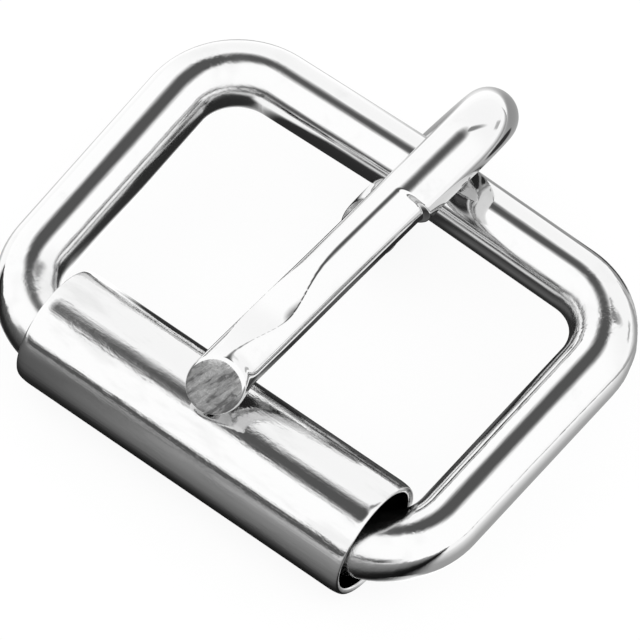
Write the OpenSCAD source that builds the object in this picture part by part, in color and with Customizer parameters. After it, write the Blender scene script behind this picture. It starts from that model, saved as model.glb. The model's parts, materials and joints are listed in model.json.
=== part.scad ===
// Roller buckle for a 25 mm strap: a closed frame of round wire, a rolled
// sheet tube that turns freely on the near bar, and a wire tongue whose eye
// swings on the far bar. It is modelled as it lies on a table: the roller and
// the underside of the eye touch z = 0, which tilts the frame a little.
// X runs along the two bars, +Y points from the roller to the tongue bar.

/* [Frame] */
// Diameter of the round wire that the frame is bent from
frame_wire_d = 4; // [3.4:0.1:5]
// Clear width between the two sides at the roller, for the strap
inner_w = 25.3; // [22:0.1:42]
// Clear length between the roller bar and the tongue bar
inner_l = 17.65; // [15:0.05:30]
// Inner bend radius of the two corners at the tongue bar
tongue_corner_r = 2.4; // [1.5:0.1:5]
// Inner bend radius of the two corners at the roller bar
roller_corner_r = 2.6; // [1.5:0.1:2.6]
// Slope of each half of the two bars away from square, in degrees: the
// middle of the tongue bar stands out and the sides spread towards it
bar_slope = 1.3; // [0:0.1:1.3]

/* [Roller] */
// Radial play between the roller bar and the bore of the roller, which leaves
// room for the bends of the frame in the ends of the bore
roller_play = 1.3; // [1.3:0.05:1.6]
// Thickness of the sheet that the roller is rolled from
roller_wall = 0.4; // [0.3:0.05:1]
// Lengthwise play of the roller between the two sides of the frame
roller_end_play = 1.9; // [1.9:0.1:4]
// How far the roller has slid along its bar towards +X
roller_slide = 0.8; // [0:0.1:0.8]
// Depth by which the ends of the roller are turned in
roller_turn_in = 0.12; // [0.05:0.01:0.15]
// Length over which each end is turned in
roller_turn_l = 1.2; // [0.6:0.1:2]
// Gap left between the bar and the inside of the roller that carries it
roller_gap = 0.65; // [0.6:0.05:0.8]
// Side of the bore that the bar lies on, in degrees from straight below
roller_lean = 40; // [10:1:45]

/* [Tongue] */
// Diameter of the wire of the tongue
tongue_wire_d = 3.5; // [2.5:0.1:4]
// Radial play between the tongue bar and the eye
eye_play = 0.67; // [0.4:0.01:1]
// Gap left between the bar and the bottom of the eye that carries it
eye_gap = 0.2; // [0.1:0.05:0.3]
// Sideways step from the upper leg of the eye to its lower leg
eye_step = 3.9; // [3.6:0.1:4.5]
// Place of the eye's middle along the bar
eye_x = -0.16; // [-3:0.01:3]
// Bend radius of the wire's end, which closes the eye round the bar
close_r = 4.4; // [4.3:0.1:4.8]
// How far the wire's end is bent up on the near side of the bar, in degrees
close_turn = 70; // [60:5:100]
// Swing of the whole tongue to the side, in degrees, tip towards -X
tongue_swing = 3.4; // [0:0.1:5]
// Gap left between the tongue and the roller that it rests on
tongue_gap = 0.15; // [0.1:0.05:0.3]
// How far the middle of the cut tip reaches beyond the roller's axis
tip_reach = 0.2; // [-0.5:0.1:1.5]
// Slant of the cut tip, in degrees away from a square cut
tip_slant = 30; // [10:1:40]

/* [Hidden] */
$fn = 96;

// Frame outline, in its own plane, with the roller bar's middle at the origin
wire_r = frame_wire_d / 2;
half_w = inner_w / 2 + wire_r;
bar_pitch = inner_l + frame_wire_d;
near_bend = roller_corner_r + wire_r;
far_bend = tongue_corner_r + wire_r;

// Roller
roller_bore_r = wire_r + roller_play;
roller_r = roller_bore_r + roller_wall;
roller_l = inner_w - roller_end_play;
roller_off = roller_play - roller_gap;
roller_y = roller_off * sin(roller_lean);
roller_z = roller_off * cos(roller_lean);

// Eye of the tongue: a ring of wire round the bar, leaning along the bar
tongue_r = tongue_wire_d / 2;
eye_h = wire_r + eye_play + tongue_r;
eye_r = norm([eye_step / 2, eye_h]);
eye_lean = atan2(eye_step / 2, eye_h);
eye_y = bar_pitch / cos(bar_slope);
eye_z = eye_play - eye_gap;

// Slope of the shaft, from the top of the eye up onto the roller
reach_y = eye_y - roller_y;
roller_to_eye_z = roller_z - eye_z;
reach_in_plane = reach_y * cos(eye_lean);
shaft_to_roller = roller_r + tongue_r + tongue_gap;
shaft_slope = asin((shaft_to_roller - eye_h) / norm([reach_in_plane, roller_to_eye_z]))
    + atan2(roller_to_eye_z, reach_in_plane);
shaft_l = (reach_y + tip_reach + eye_r * sin(shaft_slope)) / cos(shaft_slope);

// Tilt of the frame on the table: each step places the eye's lowest point,
// which depends a little on the tilt itself, level with the roller's
function eye_low(tilt) =
    eye_r * norm([sin(tilt), cos(tilt) * cos(eye_lean)]) + tongue_r;
function rest_tilt(tilt, steps) = steps == 0 ? tilt :
    rest_tilt(asin((eye_low(tilt) - roller_r + (roller_z - eye_z) * cos(tilt))
        / reach_y), steps - 1);
tilt = rest_tilt(0, 8);

// Place of the frame's own plane on the table, centred on the whole buckle
function turned_y(y, z) = y * cos(tilt) - z * sin(tilt);
function turned_z(y, z) = y * sin(tilt) + z * cos(tilt);
lift = roller_r - turned_z(roller_y, roller_z);
eye_far = eye_r * norm([cos(tilt), sin(tilt) * cos(eye_lean)]) + tongue_r;
back_edge = turned_y(eye_y, eye_z) + eye_far;
front_edge = turned_y(roller_y, roller_z) - roller_r;
shift_y = -(back_edge + front_edge) / 2;

// Puts a piece from the frame's own plane onto the table
module laid() {
    translate([0, shift_y, lift])
        rotate([tilt, 0, 0])
            children();
}

// Straight wire along X, starting at the origin
module wire_x(length, radius) {
    rotate([0, 90, 0])
        cylinder(h = length, r = radius);
}

// Straight wire along Y, starting at the origin
module wire_y(length, radius) {
    rotate([-90, 0, 0])
        cylinder(h = length, r = radius);
}

// Wire bent round the origin in the XY plane, from +X towards +Y
module wire_arc(bend_r, radius, turn) {
    rotate_extrude(angle = turn, $fn = 192)
        translate([bend_r, 0])
            circle(r = radius);
}

// One half of the frame at +X, square in itself: half of the roller bar, a
// corner, a side, a corner and half of the tongue bar. Both bars run on a
// little past the middle, where half() cuts them.
module square_half() {
    past = wire_r;
    translate([-past, 0, 0])
        wire_x(past + half_w - near_bend, wire_r);
    translate([half_w - near_bend, near_bend, 0])
        rotate([0, 0, -90])
            wire_arc(near_bend, wire_r, 90);
    translate([half_w, near_bend, 0])
        wire_y(bar_pitch - near_bend - far_bend, wire_r);
    translate([half_w - far_bend, bar_pitch - far_bend, 0])
        wire_arc(far_bend, wire_r, 90);
    translate([-past, bar_pitch, 0])
        wire_x(past + half_w - far_bend, wire_r);
}

// That half turned a little outwards and cut off square at the middle
module half() {
    beyond = 2 * (half_w + bar_pitch);
    difference() {
        rotate([0, 0, -bar_slope])
            square_half();
        translate([-beyond, -beyond / 2, -beyond / 2])
            cube(beyond);
    }
}

// Closed frame of one wire, in two halves that meet in the middle of each bar
module frame() {
    color("silver")
        laid()
            for (side = [0, 1])
                mirror([side, 0, 0])
                    half();
}

// Half section of the roller's wall: a straight tube with both ends turned in
module roller_section() {
    mid = roller_l / 2 - roller_turn_l;
    end = roller_l / 2;
    polygon([
        [roller_bore_r, -mid],
        [roller_bore_r - roller_turn_in, -end],
        [roller_r - roller_turn_in, -end],
        [roller_r, -mid],
        [roller_r, mid],
        [roller_r - roller_turn_in, end],
        [roller_bore_r - roller_turn_in, end],
        [roller_bore_r, mid]
    ]);
}

// Sheet tube that turns on the roller bar
module roller() {
    color("gainsboro")
        laid()
            translate([roller_slide, roller_y, roller_z])
                rotate([0, 90, 0])
                    rotate_extrude($fn = 192)
                        roller_section();
}

// Straight shaft along +Y, its far end cut off at a slant
module shaft() {
    past = 2 * tongue_wire_d;
    difference() {
        wire_y(shaft_l + past / 2, tongue_r);
        translate([0, shaft_l, 0])
            rotate([0, 0, -tip_slant])
                translate([-past, 0, -past])
                    cube(2 * past);
    }
}

// Half ring and shaft in one plane, the ring centred on the origin: the shaft
// sets off along +Y from the top of the ring, and the ring runs back from there
// round the outside to its bottom. The wire's end then bends up again, until it
// is under the shaft.
module hook() {
    mirror([0, 1, 0])
        wire_arc(eye_r, tongue_r, 180);
    translate([eye_r, 0, 0])
        shaft();
    translate([close_r - eye_r, 0, 0])
        mirror([1, 0, 0])
            wire_arc(close_r, tongue_r, close_turn);
}

// Wire tongue that swings on the tongue bar, in a plane that leans along it
module tongue() {
    color("lightgray")
        laid()
            translate([eye_x, eye_y, eye_z])
                rotate([0, 0, -tongue_swing])
                    rotate([0, eye_lean, 0])
                        rotate([90, 0, 90])
                            rotate([0, 0, 90 - shaft_slope])
                                hook();
}

frame();
roller();
tongue();
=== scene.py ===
import json
import math

import bpy
from mathutils import Matrix


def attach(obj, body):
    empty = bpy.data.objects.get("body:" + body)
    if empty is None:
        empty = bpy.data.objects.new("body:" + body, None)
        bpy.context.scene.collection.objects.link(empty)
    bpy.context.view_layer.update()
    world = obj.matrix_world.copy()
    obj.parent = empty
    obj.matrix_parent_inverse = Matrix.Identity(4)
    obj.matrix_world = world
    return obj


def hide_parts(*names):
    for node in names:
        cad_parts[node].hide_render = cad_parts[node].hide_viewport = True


bl_info = {
    "name": "Roller Buckle",
    "version": (1, 0, 0),
    "blender": (4, 5, 0),
    "location": "3D View > Sidebar > Buckle",
    "description": "Finishes a wire-framed roller buckle and lights it on a pale table",
    "category": "Object",
}

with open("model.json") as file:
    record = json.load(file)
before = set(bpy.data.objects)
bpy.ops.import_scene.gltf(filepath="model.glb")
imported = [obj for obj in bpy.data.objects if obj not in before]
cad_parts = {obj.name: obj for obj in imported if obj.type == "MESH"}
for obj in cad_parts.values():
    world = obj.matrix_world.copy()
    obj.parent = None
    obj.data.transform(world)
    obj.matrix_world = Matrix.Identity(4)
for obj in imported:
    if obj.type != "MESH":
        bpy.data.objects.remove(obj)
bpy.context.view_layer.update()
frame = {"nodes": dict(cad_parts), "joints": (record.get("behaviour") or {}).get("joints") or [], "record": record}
MM = 0.001
QUARTER_TURN = math.pi / 2

# From the frame: the joints' places, and how far the plane of the wire frame is tilted on the table
JOINTS = {joint["name"]: joint["pos_m"] for joint in frame["joints"]}
MOUNTS = {mount["name"]: mount for mount in frame["record"]["mounts"]}
_, PLANE_DEPTH, PLANE_RISE = MOUNTS["strap_fold"]["axis"]
TILT = math.atan2(PLANE_RISE, PLANE_DEPTH)


# Shader nodes


class Value:
    """A shader socket that takes part in ordinary arithmetic."""

    def __init__(self, graph, socket):
        self.graph = graph
        self.socket = socket

    def _math(self, operation, other, swapped=False):
        first, second = (other, self) if swapped else (self, other)
        return self.graph.value("ShaderNodeMath", {"operation": operation}, {0: first, 1: second})

    def __add__(self, other):
        return self._math("ADD", other)

    __radd__ = __add__

    def __sub__(self, other):
        return self._math("SUBTRACT", other)

    def __rsub__(self, other):
        return self._math("SUBTRACT", other, swapped=True)

    def __mul__(self, other):
        return self._math("MULTIPLY", other)

    __rmul__ = __mul__

    def __truediv__(self, other):
        return self._math("DIVIDE", other)

    def __rtruediv__(self, other):
        return self._math("DIVIDE", other, swapped=True)

    def __neg__(self):
        return self._math("MULTIPLY", -1.0)

    def squared(self):
        return self._math("POWER", 2.0)

    def smaller(self, other):
        return self._math("MINIMUM", other)

    def larger(self, other):
        return self._math("MAXIMUM", other)

    def size(self):
        return self._math("ABSOLUTE", 0.0)

    def arctan2(self, other):
        """The angle in radians whose tangent is self over other."""
        return self._math("ARCTAN2", other)


class Graph:
    """Builds the nodes of one material or world."""

    def __init__(self, owner):
        owner.use_nodes = True
        self.tree = owner.node_tree
        self.tree.nodes.clear()

    def node(self, kind, settings=None, inputs=None):
        """One node: its settings first, then the values or links of its sockets."""
        made = self.tree.nodes.new(kind)
        for name, value in (settings or {}).items():
            setattr(made, name, value)
        for name, value in (inputs or {}).items():
            if isinstance(value, Value):
                self.tree.links.new(value.socket, made.inputs[name])
            else:
                made.inputs[name].default_value = value
        return made

    def value(self, kind, settings=None, inputs=None, output=0):
        """One node's output, as a value."""
        return Value(self, self.node(kind, settings, inputs).outputs[output])

    def rise(self, value, low, high):
        """0 below low and 1 above high, with a smooth ramp between them."""
        ends = {"Value": value, "From Min": low, "From Max": high, "To Min": 0.0, "To Max": 1.0}
        return self.value("ShaderNodeMapRange", {"interpolation_type": "SMOOTHSTEP"}, ends)

    def fall(self, value, low, high):
        """1 below low and 0 above high, with a smooth ramp between them."""
        return 1 - self.rise(value, low, high)

    def oval(self, across, depth, centre, radii, core, rim):
        """1 inside an oval, 0 outside it. core and rim bound its soft edge, in squared shares."""
        share_across = (across - centre[0]) / radii[0]
        share_deep = (depth - centre[1]) / radii[1]
        return self.fall(share_across.squared() + share_deep.squared(), core, rim)

    def mix(self, factor, first, second):
        """A colour between first and second."""
        return self.value("ShaderNodeMix", {"data_type": "RGBA"}, {0: factor, 6: first, 7: second}, 2)

    def blend(self, factor, first, second):
        """A number between first and second."""
        return self.value("ShaderNodeMix", {"data_type": "FLOAT"}, {0: factor, 2: first, 3: second})

    def parts(self, vector):
        """The three coordinates of a vector."""
        split = self.node("ShaderNodeSeparateXYZ", None, {0: vector})
        return [Value(self, socket) for socket in split.outputs]

    def place(self):
        """Where a point lies on the buckle, in metres."""
        return self.value("ShaderNodeTexCoord", None, None, "Object")

    def camera_sees(self):
        """1 for what the camera sees straight on, and 0 for what is mirrored or lit."""
        return self.value("ShaderNodeLightPath", None, None, "Is Camera Ray")

    def mapped(self, vector, scale, turn=(0.0, 0.0, 0.0)):
        """The vector stretched by scale in each direction and turned, for a pattern with a grain."""
        return self.value("ShaderNodeMapping", None, {"Vector": vector, "Rotation": turn, "Scale": scale})

    def noise(self, vector, scale, detail=2.0, roughness=0.5):
        """Cloudy noise from 0 to 1, with about scale clouds a metre."""
        inputs = {"Vector": vector, "Scale": scale, "Detail": detail, "Roughness": roughness}
        return self.value("ShaderNodeTexNoise", None, inputs, "Fac")

    def grain(self, vector, scales, detail=2.0, roughness=0.5):
        """Noise with its own number of clouds a metre along each axis."""
        return self.noise(self.mapped(vector, scales), 1.0, detail, roughness)

    def bump(self, height, distance, below=None):
        """The normal of a surface raised by height times distance, on top of the bump below."""
        inputs = {"Height": height, "Strength": 1.0, "Distance": distance}
        if below:
            inputs["Normal"] = below
        return self.value("ShaderNodeBump", None, inputs)

    def levels(self, value, start, reach, stops):
        """Grey levels along a value from start on. stops are pairs of a share of the reach and a level."""
        made = self.node("ShaderNodeValToRGB", None, {0: (value - start) / reach})
        while len(made.color_ramp.elements) < len(stops):
            made.color_ramp.elements.new(0.5)
        for element, (share, level) in zip(made.color_ramp.elements, stops):
            element.position = share
            element.color = grey(level)
        return Value(self, made.outputs[0])

    def finish(self, shader, kind="ShaderNodeOutputMaterial"):
        """Makes a shader the surface of the material, or of the world."""
        self.node(kind, None, {"Surface": shader})


def opaque(colour):
    return (*colour, 1.0)


def grey(level):
    return opaque((level, level, level))


WHITE = grey(1.0)


# Settings


def length(name, description, millimetres):
    return bpy.props.FloatProperty(
        name=name, description=description, default=millimetres * MM, unit="LENGTH"
    )


def angle(name, description, degrees):
    return bpy.props.FloatProperty(
        name=name, description=description, default=math.radians(degrees), unit="ROTATION"
    )


def neutral(name, description, level):
    return bpy.props.FloatVectorProperty(
        name=name, description=description, default=(level, level, level), subtype="COLOR"
    )


def strength(name, description, level):
    return bpy.props.FloatProperty(name=name, description=description, default=level, min=0)


class BUCKLE_PG_sizes(bpy.types.PropertyGroup):
    bar_wire: length("Bar wire", "Diameter of the bar that the tongue's eye goes round", 4.0)
    tongue_wire: length("Tongue wire", "Diameter of the tongue's wire", 3.494)
    eye_play: length("Eye play", "Radial play between the bar and the tongue's eye", 0.673)
    eye_step: length("Eye step", "Sideways step from the upper leg of the eye to its lower leg", 3.9)
    end_bend: length("End bend", "Bend radius of the wire's end", 4.4)
    end_turn: angle("End turn", "How far the wire's end is bent", 70)
    tongue_aside: angle("Aside", "Turn of the whole tongue to the side, its tip towards -X", 3.4)
    shaft_slope: angle("Slope", "Slope of the shaft to the frame's plane, up onto the roller", 3.564)
    shaft_length: length("Shaft", "Length of the tongue's shaft to the middle of its cut tip", 21.78)
    shoulder: length("Shoulder", "Where the pressed shoulder sits along the shaft", 5.0)
    shoulder_slant: length("Shoulder slant", "How far the shoulder is aslant, from side to top", 0.45)
    shoulder_depth: length("Shoulder depth", "How far the shaft is pressed in past the shoulder", 0.34)
    flat_place: length("Flat", "Where the hammered flat is deepest along the shaft", 16.0)
    flat_reach: length("Flat reach", "How far the hammered flat reaches each way along the shaft", 2.5)
    flat_depth: length("Flat depth", "Depth of the hammered flat on the shaft", 0.72)
    tip_slant: angle("Tip slant", "Slant of the cut tip, away from a square cut", 30)
    tip_reach: length("Tip reach", "Length at the tip over which the shaft takes up the cut's slant", 2.6)
    tip_rim: length("Tip rim", "Radius of the rounded rim of the cut tip", 0.34)
    roller_length: length("Roller length", "Length of the roller", 23.4)
    roller_radius: length("Roller radius", "Outer radius of the roller", 3.7)
    roller_wall: length("Roller wall", "Thickness of the roller's sheet", 0.4)
    roller_edge: length("Roller edge", "Width of the rounding on the edges of the roller's ends", 0.13)


class BUCKLE_PG_finish(bpy.types.PropertyGroup):
    plating: neutral("Plating", "Colour of the bright nickel plating", 0.64)
    dulled: neutral("Dulled", "Colour of the plating where it is dull", 0.43)
    cut_steel: neutral("Cut steel", "Colour of the sheared tip", 0.34)
    torn_steel: neutral("Torn steel", "Colour of the bright torn spots on the sheared tip", 0.60)
    furrow: neutral("Furrow", "Colour of the furrows and pits in the sheared tip", 0.09)
    polish: bpy.props.FloatProperty(
        name="Roughness",
        description="Roughness of the polished plating",
        default=0.045,
        min=0,
        max=1,
        subtype="FACTOR",
    )


class BUCKLE_PG_stage(bpy.types.PropertyGroup):
    tent: strength("Tent", "Brightness of the white tent round the table", 1.54)
    shade: strength("Shade", "Brightness of the tent's dark places, as a share of the tent's", 0.085)
    # The glow that carries the table's painted shadows, as the plating mirrors them
    table: strength("Table", "Brightness of the white table where the plating mirrors it", 1.45)


def settings():
    scene = bpy.context.scene
    return scene.buckle_sizes, scene.buckle_finish, scene.buckle_stage


# Materials


def nickel(name, marks):
    """Bright nickel plating.

    marks(graph, place) gives the normal of its uneven surface, how dull it is and the roughness of wear.
    """
    finish = settings()[1]
    material = bpy.data.materials.new(name)
    graph = Graph(material)
    normal, dull, wear = marks(graph, graph.place())
    shader = graph.value(
        "ShaderNodeBsdfPrincipled",
        None,
        {
            "Base Color": graph.mix(dull, opaque(finish.plating), opaque(finish.dulled)),
            "Metallic": 1.0,
            "Roughness": finish.polish + dull * 0.22 + wear,
            "Normal": normal,
        },
    )
    graph.finish(shader)
    return material


def wire_marks(graph, place):
    """Faint lines and ripples along the frame's wire, and small wrinkles in its four bent corners."""
    corner_middle = -2.4 * MM
    across, depth, _ = graph.parts(place)
    sideways = across.size()
    at_sides = graph.rise(sideways, 9.6 * MM, 13.0 * MM)
    at_ends = graph.rise((depth - corner_middle).size(), 6.4 * MM, 9.4 * MM)
    wrinkled = at_sides * at_ends * graph.rise(graph.noise(place, 420.0, 2.0, 0.6), 0.44, 0.62)
    wrinkles = graph.noise(place, 2300.0, 3.0, 0.65)
    ripples = graph.grain(place, (500.0, 260.0, 500.0))
    lines_on_bars = graph.grain(place, (160.0, 4200.0, 4200.0), 2.0, 0.6)
    lines_on_sides = graph.grain(place, (4200.0, 160.0, 4200.0), 2.0, 0.6)
    lines = graph.blend(graph.rise(sideways, 11.5 * MM, 13.5 * MM), lines_on_bars, lines_on_sides)
    height = ripples * 0.30 + lines * 0.12 + wrinkles * (0.03 + wrinkled * 0.7)
    smears = graph.rise(graph.noise(place, 300.0, 4.0, 0.62), 0.58, 0.84)
    dull = smears * 0.30 + wrinkled * 0.12
    inner_side = graph.fall(sideways, 13.0 * MM, 14.2 * MM) * graph.fall(depth, 7.4 * MM, 8.6 * MM)
    wear = inner_side * (0.04 + graph.rise(sideways, 9 * MM, 12 * MM) * 0.07)
    return graph.bump(height, 0.030 * MM), dull, wear


def tongue_marks(graph, place):
    """Soft dents and a few rubbed places along the hammered tongue."""
    dents = graph.grain(place, (520.0, 210.0, 520.0))
    scuffs = graph.noise(place, 2400.0, 3.0, 0.6)
    dull = graph.rise(graph.noise(place, 330.0, 4.0, 0.6), 0.56, 0.84) * 0.30
    return graph.bump(dents * 0.8 + scuffs * (0.04 + dull * 0.25), 0.034 * MM), dull, 0.0


def roller_marks(graph, place):
    """Rolled sheet: not quite round, with fine marks along it and a mottled polish."""
    _, axis_depth, axis_height = JOINTS["roller_spin"]
    _, depth, height = graph.parts(place)
    round_axis = (depth - axis_depth).arctan2(height - axis_height)
    flatter = graph.bump(graph.fall(round_axis, -0.98, 0.42), 0.62 * MM)
    lines = graph.grain(place, (150.0, 4200.0, 4200.0), 3.0, 0.6)
    mottle = graph.grain(place, (2100.0, 3600.0, 3600.0), 3.0, 0.7)
    rubbed = graph.rise(graph.grain(place, (260.0, 900.0, 900.0), 3.0), 0.46, 0.72)
    uneven = graph.bump(lines * 0.20 + mottle * (0.16 + rubbed * 0.40), 0.034 * MM, flatter)
    return uneven, rubbed * 0.30, 0.0


def sheared_steel():
    """The grey cut face of the tongue's tip: slanting streaks, bright torn spots, furrows and pits."""
    finish = settings()[1]
    material = bpy.data.materials.new("sheared_steel")
    graph = Graph(material)
    place = graph.place()
    streak_turn = -0.5
    aslant = graph.mapped(place, (1.0, 1.0, 1.0), (0.0, streak_turn, 0.0))
    streaks = graph.grain(aslant, (2200.0, 440.0, 440.0), 3.0, 0.7)
    grit = graph.noise(place, 5200.0, 3.0, 0.7)
    torn = graph.rise(streaks, 0.52, 0.60)
    furrows = graph.fall(streaks, 0.38, 0.49)
    pits = graph.rise(graph.noise(place, 2100.0), 0.62, 0.72)
    colour = graph.mix(torn * 0.55, opaque(finish.cut_steel), opaque(finish.torn_steel))
    colour = graph.mix(furrows.larger(pits) * 0.72, colour, opaque(finish.furrow))
    shader = graph.value(
        "ShaderNodeBsdfPrincipled",
        None,
        {
            "Base Color": colour,
            "Metallic": 0.7,
            "Roughness": 0.60 - torn * 0.15,
            "Normal": graph.bump(streaks + grit * 0.4, 0.10 * MM),
        },
    )
    graph.finish(shader)
    return material


# Modelling helpers

NEAR = 0.001 * MM


def deselect():
    if bpy.context.object and bpy.context.object.mode != "OBJECT":
        bpy.ops.object.mode_set(mode="OBJECT")
    bpy.ops.object.select_all(action="DESELECT")


def pick(piece, wanted):
    """In edit mode, selects the vertices for which wanted(place) is true."""
    bpy.ops.mesh.select_all(action="DESELECT")
    bpy.ops.object.mode_set(mode="OBJECT")
    for vertex in piece.data.vertices:
        vertex.select = wanted(vertex.co)
    bpy.ops.object.mode_set(mode="EDIT")
    bpy.ops.mesh.select_mode(type="VERT")


def step(value, low, high):
    """0 below low and 1 above high, with a smooth ramp between them."""
    t = min(1.0, max(0.0, (value - low) / (high - low)))
    return t * t * (3 - 2 * t)


def turned(axis, radians):
    return Matrix.Rotation(radians, 4, axis)


def moved(place):
    return Matrix.Translation(place)


def laid(joint):
    """The place of a piece that turns on a joint, square to the tilted frame."""
    return moved(JOINTS[joint]) @ turned("X", TILT)


def finish_piece(piece, place, body, *nodes, slot, smooth=30):
    """Applies the piece's place, smooths its faces and puts it in a CAD node's stead."""
    bpy.ops.object.mode_set(mode="OBJECT")
    deselect()
    piece.select_set(True)
    bpy.context.view_layer.objects.active = piece
    piece.matrix_world = place
    bpy.ops.object.transform_apply(location=True, rotation=True, scale=True)
    bpy.ops.object.mode_set(mode="EDIT")
    bpy.ops.mesh.select_all(action="SELECT")
    bpy.ops.mesh.remove_doubles(threshold=2 * NEAR)
    bpy.ops.mesh.normals_make_consistent(inside=False)
    bpy.ops.object.mode_set(mode="OBJECT")
    bpy.ops.object.shade_smooth_by_angle(angle=math.radians(smooth))
    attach(piece, body)
    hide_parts(*nodes)
    deselect()


# The pieces


class BUCKLE_OT_frame(bpy.types.Operator):
    """Plate the bent wire frame"""

    bl_idname = "buckle.frame"
    bl_label = "Frame"

    def execute(self, context):
        wire = frame["nodes"]["frame"]
        wire.data.materials.clear()
        wire.data.materials.append(nickel("wire_plating", wire_marks))
        return {"FINISHED"}


# How the roller's ends are turned in: distance from the end and depth, in millimetres
TURNED_IN = ((0.8, 0.0), (0.55, 0.012), (0.36, 0.035), (0.22, 0.065), (0.1, 0.1), (0.0, 0.14))


class BUCKLE_OT_roller(bpy.types.Operator):
    """Roll the sheet tube, turn in its ends and round their edges"""

    bl_idname = "buckle.roller"
    bl_label = "Roller"

    def execute(self, context):
        sizes = settings()[0]
        half = sizes.roller_length / 2
        radius = sizes.roller_radius
        deselect()
        bpy.ops.mesh.primitive_cylinder_add(
            vertices=160, radius=radius, depth=2 * half, end_fill_type="NOTHING", location=(0, 0, 0)
        )
        tube = context.active_object
        tube.name = "rolled_tube"
        bpy.ops.object.mode_set(mode="EDIT")
        for distance, _ in TURNED_IN[:-1]:
            for end in (-1, 1):
                bpy.ops.mesh.select_all(action="SELECT")
                bpy.ops.mesh.bisect(plane_co=(0, 0, end * (half - distance * MM)), plane_no=(0, 0, 1))
        for end in (-1, 1):
            for distance, inward in TURNED_IN:
                height = end * (half - distance * MM)
                pick(tube, lambda co: abs(co.z - height) < NEAR)
                share = 1 - inward * MM / radius
                bpy.ops.transform.resize(value=(share, share, 1), center_override=(0, 0, 0))
        bpy.ops.object.mode_set(mode="OBJECT")
        wall = tube.modifiers.new("wall", "SOLIDIFY")
        wall.thickness = sizes.roller_wall
        wall.offset = -1
        wall.use_even_offset = True
        edge = tube.modifiers.new("edge", "BEVEL")
        edge.width = sizes.roller_edge
        edge.segments = 4
        edge.limit_method = "ANGLE"
        edge.angle_limit = math.radians(50)
        for modifier in ("wall", "edge"):
            bpy.ops.object.modifier_apply(modifier=modifier)
        tube.data.materials.append(nickel("roller_plating", roller_marks))
        place = laid("roller_spin") @ turned("Y", QUARTER_TURN)
        finish_piece(tube, place, "roller", "roller", slot="roller_plating")
        return {"FINISHED"}


def eye_ring(sizes):
    """The eye's bend radius and its lean along the bar, from its play and the step of its legs."""
    height = (sizes.bar_wire + sizes.tongue_wire) / 2 + sizes.eye_play
    return math.hypot(sizes.eye_step / 2, height), math.atan2(sizes.eye_step / 2, height)


def shaft_steps(sizes):
    """The steps in which the shaft is extruded: fine ones round the shoulder and at the rim of the tip."""
    fine = 0.04 * MM
    ahead, behind, at_rim = 20, 16, 10
    before_shoulder, to_rim = 40, 150
    first = sizes.shoulder - ahead * fine
    second = sizes.shaft_length - sizes.shoulder - (behind + at_rim) * fine
    steps = [first / before_shoulder] * before_shoulder + [fine] * (ahead + behind)
    return steps + [second / to_rim] * to_rim + [fine] * at_rim


def shoulder_share(sizes, along, around):
    """What the shoulder leaves of the wire's radius. around is the angle from the shaft's top to +X."""
    ledge_start, ledge_end = -0.02 * MM, 0.30 * MM
    degrees = math.degrees(around)
    place = sizes.shoulder - sizes.shoulder_slant * math.sin(around)
    share_along = along / sizes.shaft_length

    # The wire is pressed from its top over to +X, less so at its tip
    pressed = step(along, place + ledge_start, place + ledge_end) * (1 - 0.8 * step(share_along, 0.9, 1.0))
    pressed *= step(degrees, -34, 8) * (1 - step(degrees, 120, 170))
    depth = pressed * sizes.shoulder_depth / (sizes.tongue_wire / 2)

    # Its sides spread a little on the way to the tip
    spread = 0.02 * step(share_along, 0.5, 0.8) * abs(math.sin(around))
    return (1 - depth) * (1 + spread)


def rim_share(sizes, along):
    """What the rounded rim of the tip leaves of the wire's radius."""
    inside = sizes.tip_rim - max(0.0, sizes.shaft_length - along)
    if inside <= 0:
        return 1.0
    return 1 - (sizes.tip_rim - math.sqrt(sizes.tip_rim**2 - inside**2)) / (sizes.tongue_wire / 2)


def flattened(sizes, along, up, side):
    """Where a point of the shaft's skin goes when the flat is hammered into the side towards -X."""
    facing = math.radians(-38)
    yielding = 0.88
    depth = sizes.flat_depth * math.exp(-(((along - sizes.flat_place) / sizes.flat_reach) ** 2))
    beyond = up * math.cos(facing) + side * math.sin(facing) - (sizes.tongue_wire / 2 - depth)
    pushed = yielding * max(0.0, beyond)
    return up - pushed * math.cos(facing), side - pushed * math.sin(facing)


def press_tongue(piece, sizes, top):
    """Presses the shoulder and the flat into the shaft, rounds the cut tip's rim and slants the cut."""
    shaft_start = 0.2 * MM
    for vertex in piece.data.vertices:
        along = vertex.co.y
        up, side = vertex.co.x - top, vertex.co.z
        if along <= shaft_start or up < -sizes.tongue_wire:
            continue
        share = shoulder_share(sizes, along, math.atan2(side, up)) * rim_share(sizes, along)
        up, side = flattened(sizes, along, up * share, side * share)
        cut_from = sizes.shaft_length - sizes.tip_reach
        slant = step(along, cut_from, sizes.shaft_length) * math.tan(sizes.tip_slant)
        vertex.co = (top + up, along - up * slant, side)


def close_ends(wire, material_index):
    """Closes the wire's two open ends, each with a narrow ring inside its edge."""
    bpy.ops.object.mode_set(mode="EDIT")
    bpy.ops.mesh.select_all(action="DESELECT")
    bpy.ops.mesh.select_mode(type="EDGE")
    bpy.ops.mesh.select_non_manifold(
        extend=False,
        use_wire=False,
        use_boundary=True,
        use_multi_face=False,
        use_non_contiguous=False,
        use_verts=False,
    )
    bpy.ops.mesh.edge_face_add()
    bpy.ops.mesh.select_mode(type="FACE")
    bpy.ops.mesh.select_all(action="DESELECT")
    bpy.ops.object.mode_set(mode="OBJECT")
    ends = [face for face in wire.data.polygons if len(face.vertices) > 8]
    if len(ends) != 2:
        raise RuntimeError(f"the tongue's wire has {len(ends)} closed ends and not 2")
    for face in ends:
        face.material_index = material_index
        face.select = True
    bpy.ops.object.mode_set(mode="EDIT")
    bpy.ops.mesh.inset(thickness=0.05 * MM, depth=0.0, use_individual=True)
    bpy.ops.object.mode_set(mode="OBJECT")


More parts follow.
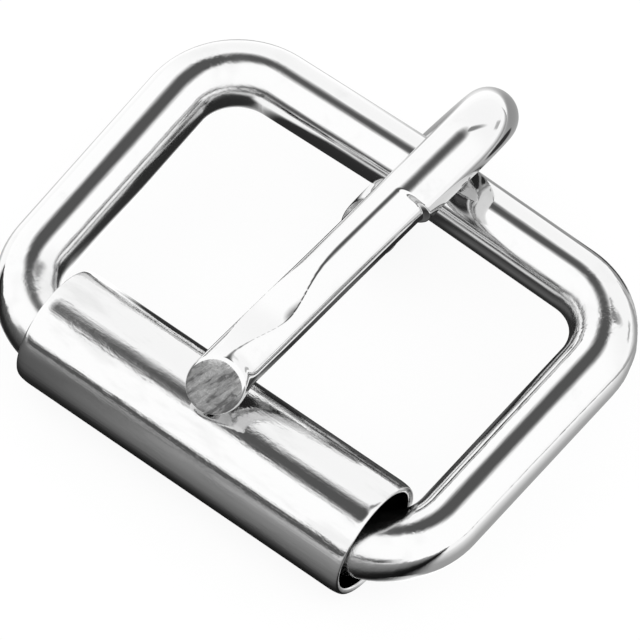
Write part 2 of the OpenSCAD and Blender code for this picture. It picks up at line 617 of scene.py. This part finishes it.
class BUCKLE_OT_tongue(bpy.types.Operator):
    """Bend the wire tongue round its eye, press its shoulder and shear its tip"""

    bl_idname = "buckle.tongue"
    bl_label = "Tongue"

    def execute(self, context):
        sizes = settings()[0]
        top, lean = eye_ring(sizes)
        deselect()
        bpy.ops.mesh.primitive_circle_add(
            vertices=96, radius=sizes.tongue_wire / 2, location=(top, 0, 0), rotation=(QUARTER_TURN, 0, 0)
        )
        wire = context.active_object
        wire.name = "bent_tongue"
        bpy.ops.object.transform_apply(location=True, rotation=True, scale=True)
        bpy.ops.object.mode_set(mode="EDIT")
        bpy.ops.mesh.select_all(action="SELECT")
        for length_of_step in shaft_steps(sizes):
            bpy.ops.mesh.extrude_region_move(TRANSFORM_OT_translate={"value": (0, length_of_step, 0)})
        pick(wire, lambda co: abs(co.y) < NEAR)
        bpy.ops.mesh.spin(steps=64, angle=math.pi, center=(0, 0, 0), axis=(0, 0, 1))
        pick(wire, lambda co: co.x < 0 and abs(co.y) < NEAR)
        end_centre = (sizes.end_bend - top, 0, 0)
        bpy.ops.mesh.spin(steps=28, angle=sizes.end_turn, center=end_centre, axis=(0, 0, 1))
        bpy.ops.object.mode_set(mode="OBJECT")
        for material in (nickel("tongue_plating", tongue_marks), sheared_steel()):
            wire.data.materials.append(material)
        bare_from = sizes.shaft_length - 0.07 * MM
        for face in wire.data.polygons:
            face.material_index = int(face.center.y > bare_from)
        press_tongue(wire, sizes, top)
        close_ends(wire, 1)
        place = (
            laid("tongue_swing")
            @ turned("Z", -sizes.tongue_aside)
            @ turned("Y", lean)
            @ turned("Z", QUARTER_TURN)
            @ turned("X", QUARTER_TURN)
            @ turned("Z", QUARTER_TURN - sizes.shaft_slope)
        )
        finish_piece(wire, place, "tongue", "tongue", slot="tongue_plating", smooth=35)
        return {"FINISHED"}


# The tent. A place in it is a direction of length one: across to the right, depth to the back, and height


def tent(stage):
    """A white tent round the table, with the dark places that the plating mirrors."""
    world = bpy.data.worlds.new("tent")
    graph = Graph(world)
    direction = graph.value("ShaderNodeTexCoord", None, None, "Generated")
    across, depth, height = graph.parts(direction)
    opening = graph.oval(across, depth, (-0.12, 0.25), (0.38, 0.29), 0.25, 1.65)
    opening = opening * graph.rise(height, 0.2, 0.5)
    strip = graph.rise(-depth, 0.60, 0.85) * graph.fall(height, 0.12, 0.30)
    patch = graph.oval(across, depth, (0.51, 0.87), (0.13, 0.10), 0.2, 1.6)
    patch = patch * graph.fall(height, 0.10, 0.20) * 0.62
    back = graph.rise(depth, 0.30, 0.75) * 0.08
    arm = tent_arm(graph, across, depth, height)
    dark = opening.larger(strip).larger(arm).larger(patch).larger(back)
    mirrored = graph.mix(dark, WHITE, grey(stage.shade))
    colour = graph.mix(graph.camera_sees(), mirrored, grey(0.98))
    background = graph.value("ShaderNodeBackground", None, {"Color": colour, "Strength": stage.tent})
    graph.finish(background, "ShaderNodeOutputWorld")
    return world


def tent_arm(graph, across, depth, height):
    """A narrow dark arm of the tent, which starts at the back, runs to the right and fades out."""
    start = 0.57
    to_right, to_back = 0.5, 0.28
    beyond = depth - start
    along = (across * 1.217 + beyond * 0.682).larger(0.0).smaller(1.0)
    aside = (across - along * to_right).squared() + (beyond - along * to_back).squared()
    return graph.fall(aside, 0.001, 0.011) * graph.rise(height, -0.3, 0.1) * 0.85


# The table. The camera sees it white, and the plating mirrors it as a glow with painted shadows round the
# buckle, not cast by any light. Each row of stops holds a share of the way and a grey level.

FRONT_EDGE = 14 * MM
FRONT_REACH = 80 * MM
# Painted contact shadow: the darkest levels lie right at the buckle's front edge
NEXT_STOPS = ((0, 0.006), (0.022, 0.012), (0.036, 0.045), (0.054, 0.13))
FRONT_STOPS = (*NEXT_STOPS, (0.1, 0.2), (0.33, 0.34), (1, 0.7))

WINDOW_REACH = 34 * MM
NEAR_STOPS = ((0, 0.90), (0.2, 0.60), (0.28, 0.12), (0.34, 0.03))
LEFT_STOPS = (*NEAR_STOPS, (0.69, 0.02), (0.735, 1.0))
RIGHT_STOPS = (*NEAR_STOPS, (0.52, 0.10), (0.6, 0.02), (0.85, 0.03), (0.92, 1.0))

SIDE_EDGE = 16 * MM
SIDE_REACH = 20 * MM
SIDE_STOPS = ((0, 1.0), (0.03, 0.30), (0.2, 0.36), (0.45, 0.66), (1, 1.0))

# Painted shadow close round the buckle's left and back edges, darkest right at them
HALO_SIDE = 16.8 * MM
HALO_BACK = 15 * MM
HALO_REACH = 8 * MM
HALO_STOPS = ((0, 1.0), (0.02, 0.30), (0.6, 0.50), (1, 1.0))


def table_in_front(graph, across, depth):
    """The painted shade in front of the buckle, a painted contact shadow: darkest next to it, and darker to the
    left.
    """
    shade = graph.levels(-depth, FRONT_EDGE, FRONT_REACH, FRONT_STOPS)
    return graph.mix(graph.fall(across, -15 * MM, -3 * MM) * 0.6, shade, grey(0.02))


def table_in_window(graph, across, depth):
    """The painted shade inside the buckle's window, which differs left and right of the tongue."""
    left = graph.levels(depth, -FRONT_EDGE, WINDOW_REACH, LEFT_STOPS)
    right = graph.levels(depth, -FRONT_EDGE, WINDOW_REACH, RIGHT_STOPS)
    shade = graph.mix(graph.rise(across, -1 * MM, 2 * MM), left, right)
    wider_at_back = graph.rise(depth, -3 * MM, 2 * MM) * (1.8 * MM)
    inside = graph.rise(across + wider_at_back, -12.2 * MM, -9.6 * MM)
    inside = inside * graph.fall(across, 11.8 * MM, 13.6 * MM)
    return graph.mix(inside, WHITE, shade)


def table_around(graph, across, depth):
    """The painted shades behind the buckle, to its right, and close round its left and back."""
    spot = graph.oval(across, depth, (9.5 * MM, 21 * MM), (4.5 * MM, 5 * MM), 0.4, 1.5)
    wide = graph.oval(across, depth, (4 * MM, 36 * MM), (17 * MM, 34 * MM), 0.1, 1.3)
    behind = graph.mix(spot, WHITE, grey(0.03)).smaller(graph.mix(wide, WHITE, grey(0.28)))
    beside = graph.levels(across, SIDE_EDGE, SIDE_REACH, SIDE_STOPS)
    beyond_edge = (-across - HALO_SIDE).larger(depth - HALO_BACK)
    halo = graph.levels(beyond_edge, 0.0, HALO_REACH, HALO_STOPS)
    return behind.smaller(beside).smaller(halo)


def table_top(stage):
    """A table that is white to the camera, and that the plating mirrors as a glow with painted shades round the
    buckle.
    """
    material = bpy.data.materials.new("white_table")
    graph = Graph(material)
    across, depth, _ = graph.parts(graph.place())
    around = table_in_window(graph, across, depth).smaller(table_around(graph, across, depth))
    in_front = graph.rise(-depth, FRONT_EDGE - 3 * MM, FRONT_EDGE)
    # What the plating mirrors: the painted shadows, given off as a glow
    mirrored = graph.mix(in_front, around, table_in_front(graph, across, depth))
    shown = graph.value("ShaderNodeEmission", None, {"Color": WHITE, "Strength": 0.9})
    soft = graph.value("ShaderNodeBsdfDiffuse", None, {"Color": grey(0.09)})
    white = graph.value("ShaderNodeAddShader", None, {0: shown, 1: soft})
    plain = graph.value("ShaderNodeEmission", None, {"Color": mirrored, "Strength": stage.table})
    graph.finish(graph.value("ShaderNodeMixShader", None, {0: graph.camera_sees(), 1: plain, 2: white}))
    return material


# The camera: its angles in degrees, the point on the buckle that it looks at, and its distance

CAMERA_AZIMUTH = 32.1193
CAMERA_ELEVATION = 53.7157
CAMERA_ROLL = 7.0451
CAMERA_TARGET = (1.443 * MM, -3.202 * MM, 6.0 * MM)
CAMERA_DISTANCE = 525.66 * MM
CAMERA_VIEW = 4.0


def camera_place():
    return (
        moved(CAMERA_TARGET)
        @ turned("Z", math.radians(CAMERA_AZIMUTH))
        @ turned("X", QUARTER_TURN - math.radians(CAMERA_ELEVATION))
        @ turned("Z", math.radians(CAMERA_ROLL))
        @ moved((0, 0, CAMERA_DISTANCE))
    )


class BUCKLE_OT_stage(bpy.types.Operator):
    """Lay a white table, put a white tent round it and set up the camera"""

    bl_idname = "buckle.stage"
    bl_label = "Table, light and camera"

    def execute(self, context):
        stage = settings()[2]
        scene = context.scene
        scene.view_settings.view_transform = "Standard"
        camera = bpy.data.objects.new("camera", bpy.data.cameras.new("camera"))
        scene.collection.objects.link(camera)
        camera.matrix_world = camera_place()
        camera.data.angle = math.radians(CAMERA_VIEW)
        camera.data.clip_start = 0.01
        camera.data.clip_end = 10
        scene.camera = camera
        scene.world = tent(stage)
        deselect()
        bpy.ops.mesh.primitive_plane_add(size=1.6, location=(0, 0, -0.02 * MM))
        table = context.active_object
        table.name = "table"
        table.data.materials.append(table_top(stage))
        deselect()
        return {"FINISHED"}


class BUCKLE_PT_panel(bpy.types.Panel):
    """Lists the buckle's pieces, its table and its settings"""

    bl_idname = "BUCKLE_PT_panel"
    bl_label = "Roller Buckle"
    bl_space_type = "VIEW_3D"
    bl_region_type = "UI"
    bl_category = "Buckle"

    def draw(self, context):
        for operator in OPERATORS:
            self.layout.operator(operator.bl_idname)
        for group in settings():
            for name in group.bl_rna.properties.keys():
                if name not in ("rna_type", "name"):
                    self.layout.prop(group, name)


GROUPS = {
    "buckle_sizes": BUCKLE_PG_sizes,
    "buckle_finish": BUCKLE_PG_finish,
    "buckle_stage": BUCKLE_PG_stage,
}
OPERATORS = (BUCKLE_OT_frame, BUCKLE_OT_roller, BUCKLE_OT_tongue, BUCKLE_OT_stage)
CLASSES = (*GROUPS.values(), *OPERATORS, BUCKLE_PT_panel)


def register():
    for cls in CLASSES:
        bpy.utils.register_class(cls)
    for name, group in GROUPS.items():
        setattr(bpy.types.Scene, name, bpy.props.PointerProperty(type=group))


def unregister():
    for name in GROUPS:
        delattr(bpy.types.Scene, name)
    for cls in reversed(CLASSES):
        bpy.utils.unregister_class(cls)


def main():
    register()
    bpy.ops.buckle.frame()
    bpy.ops.buckle.roller()
    bpy.ops.buckle.tongue()
    bpy.ops.buckle.stage()


if __name__ == "__main__":
    main()
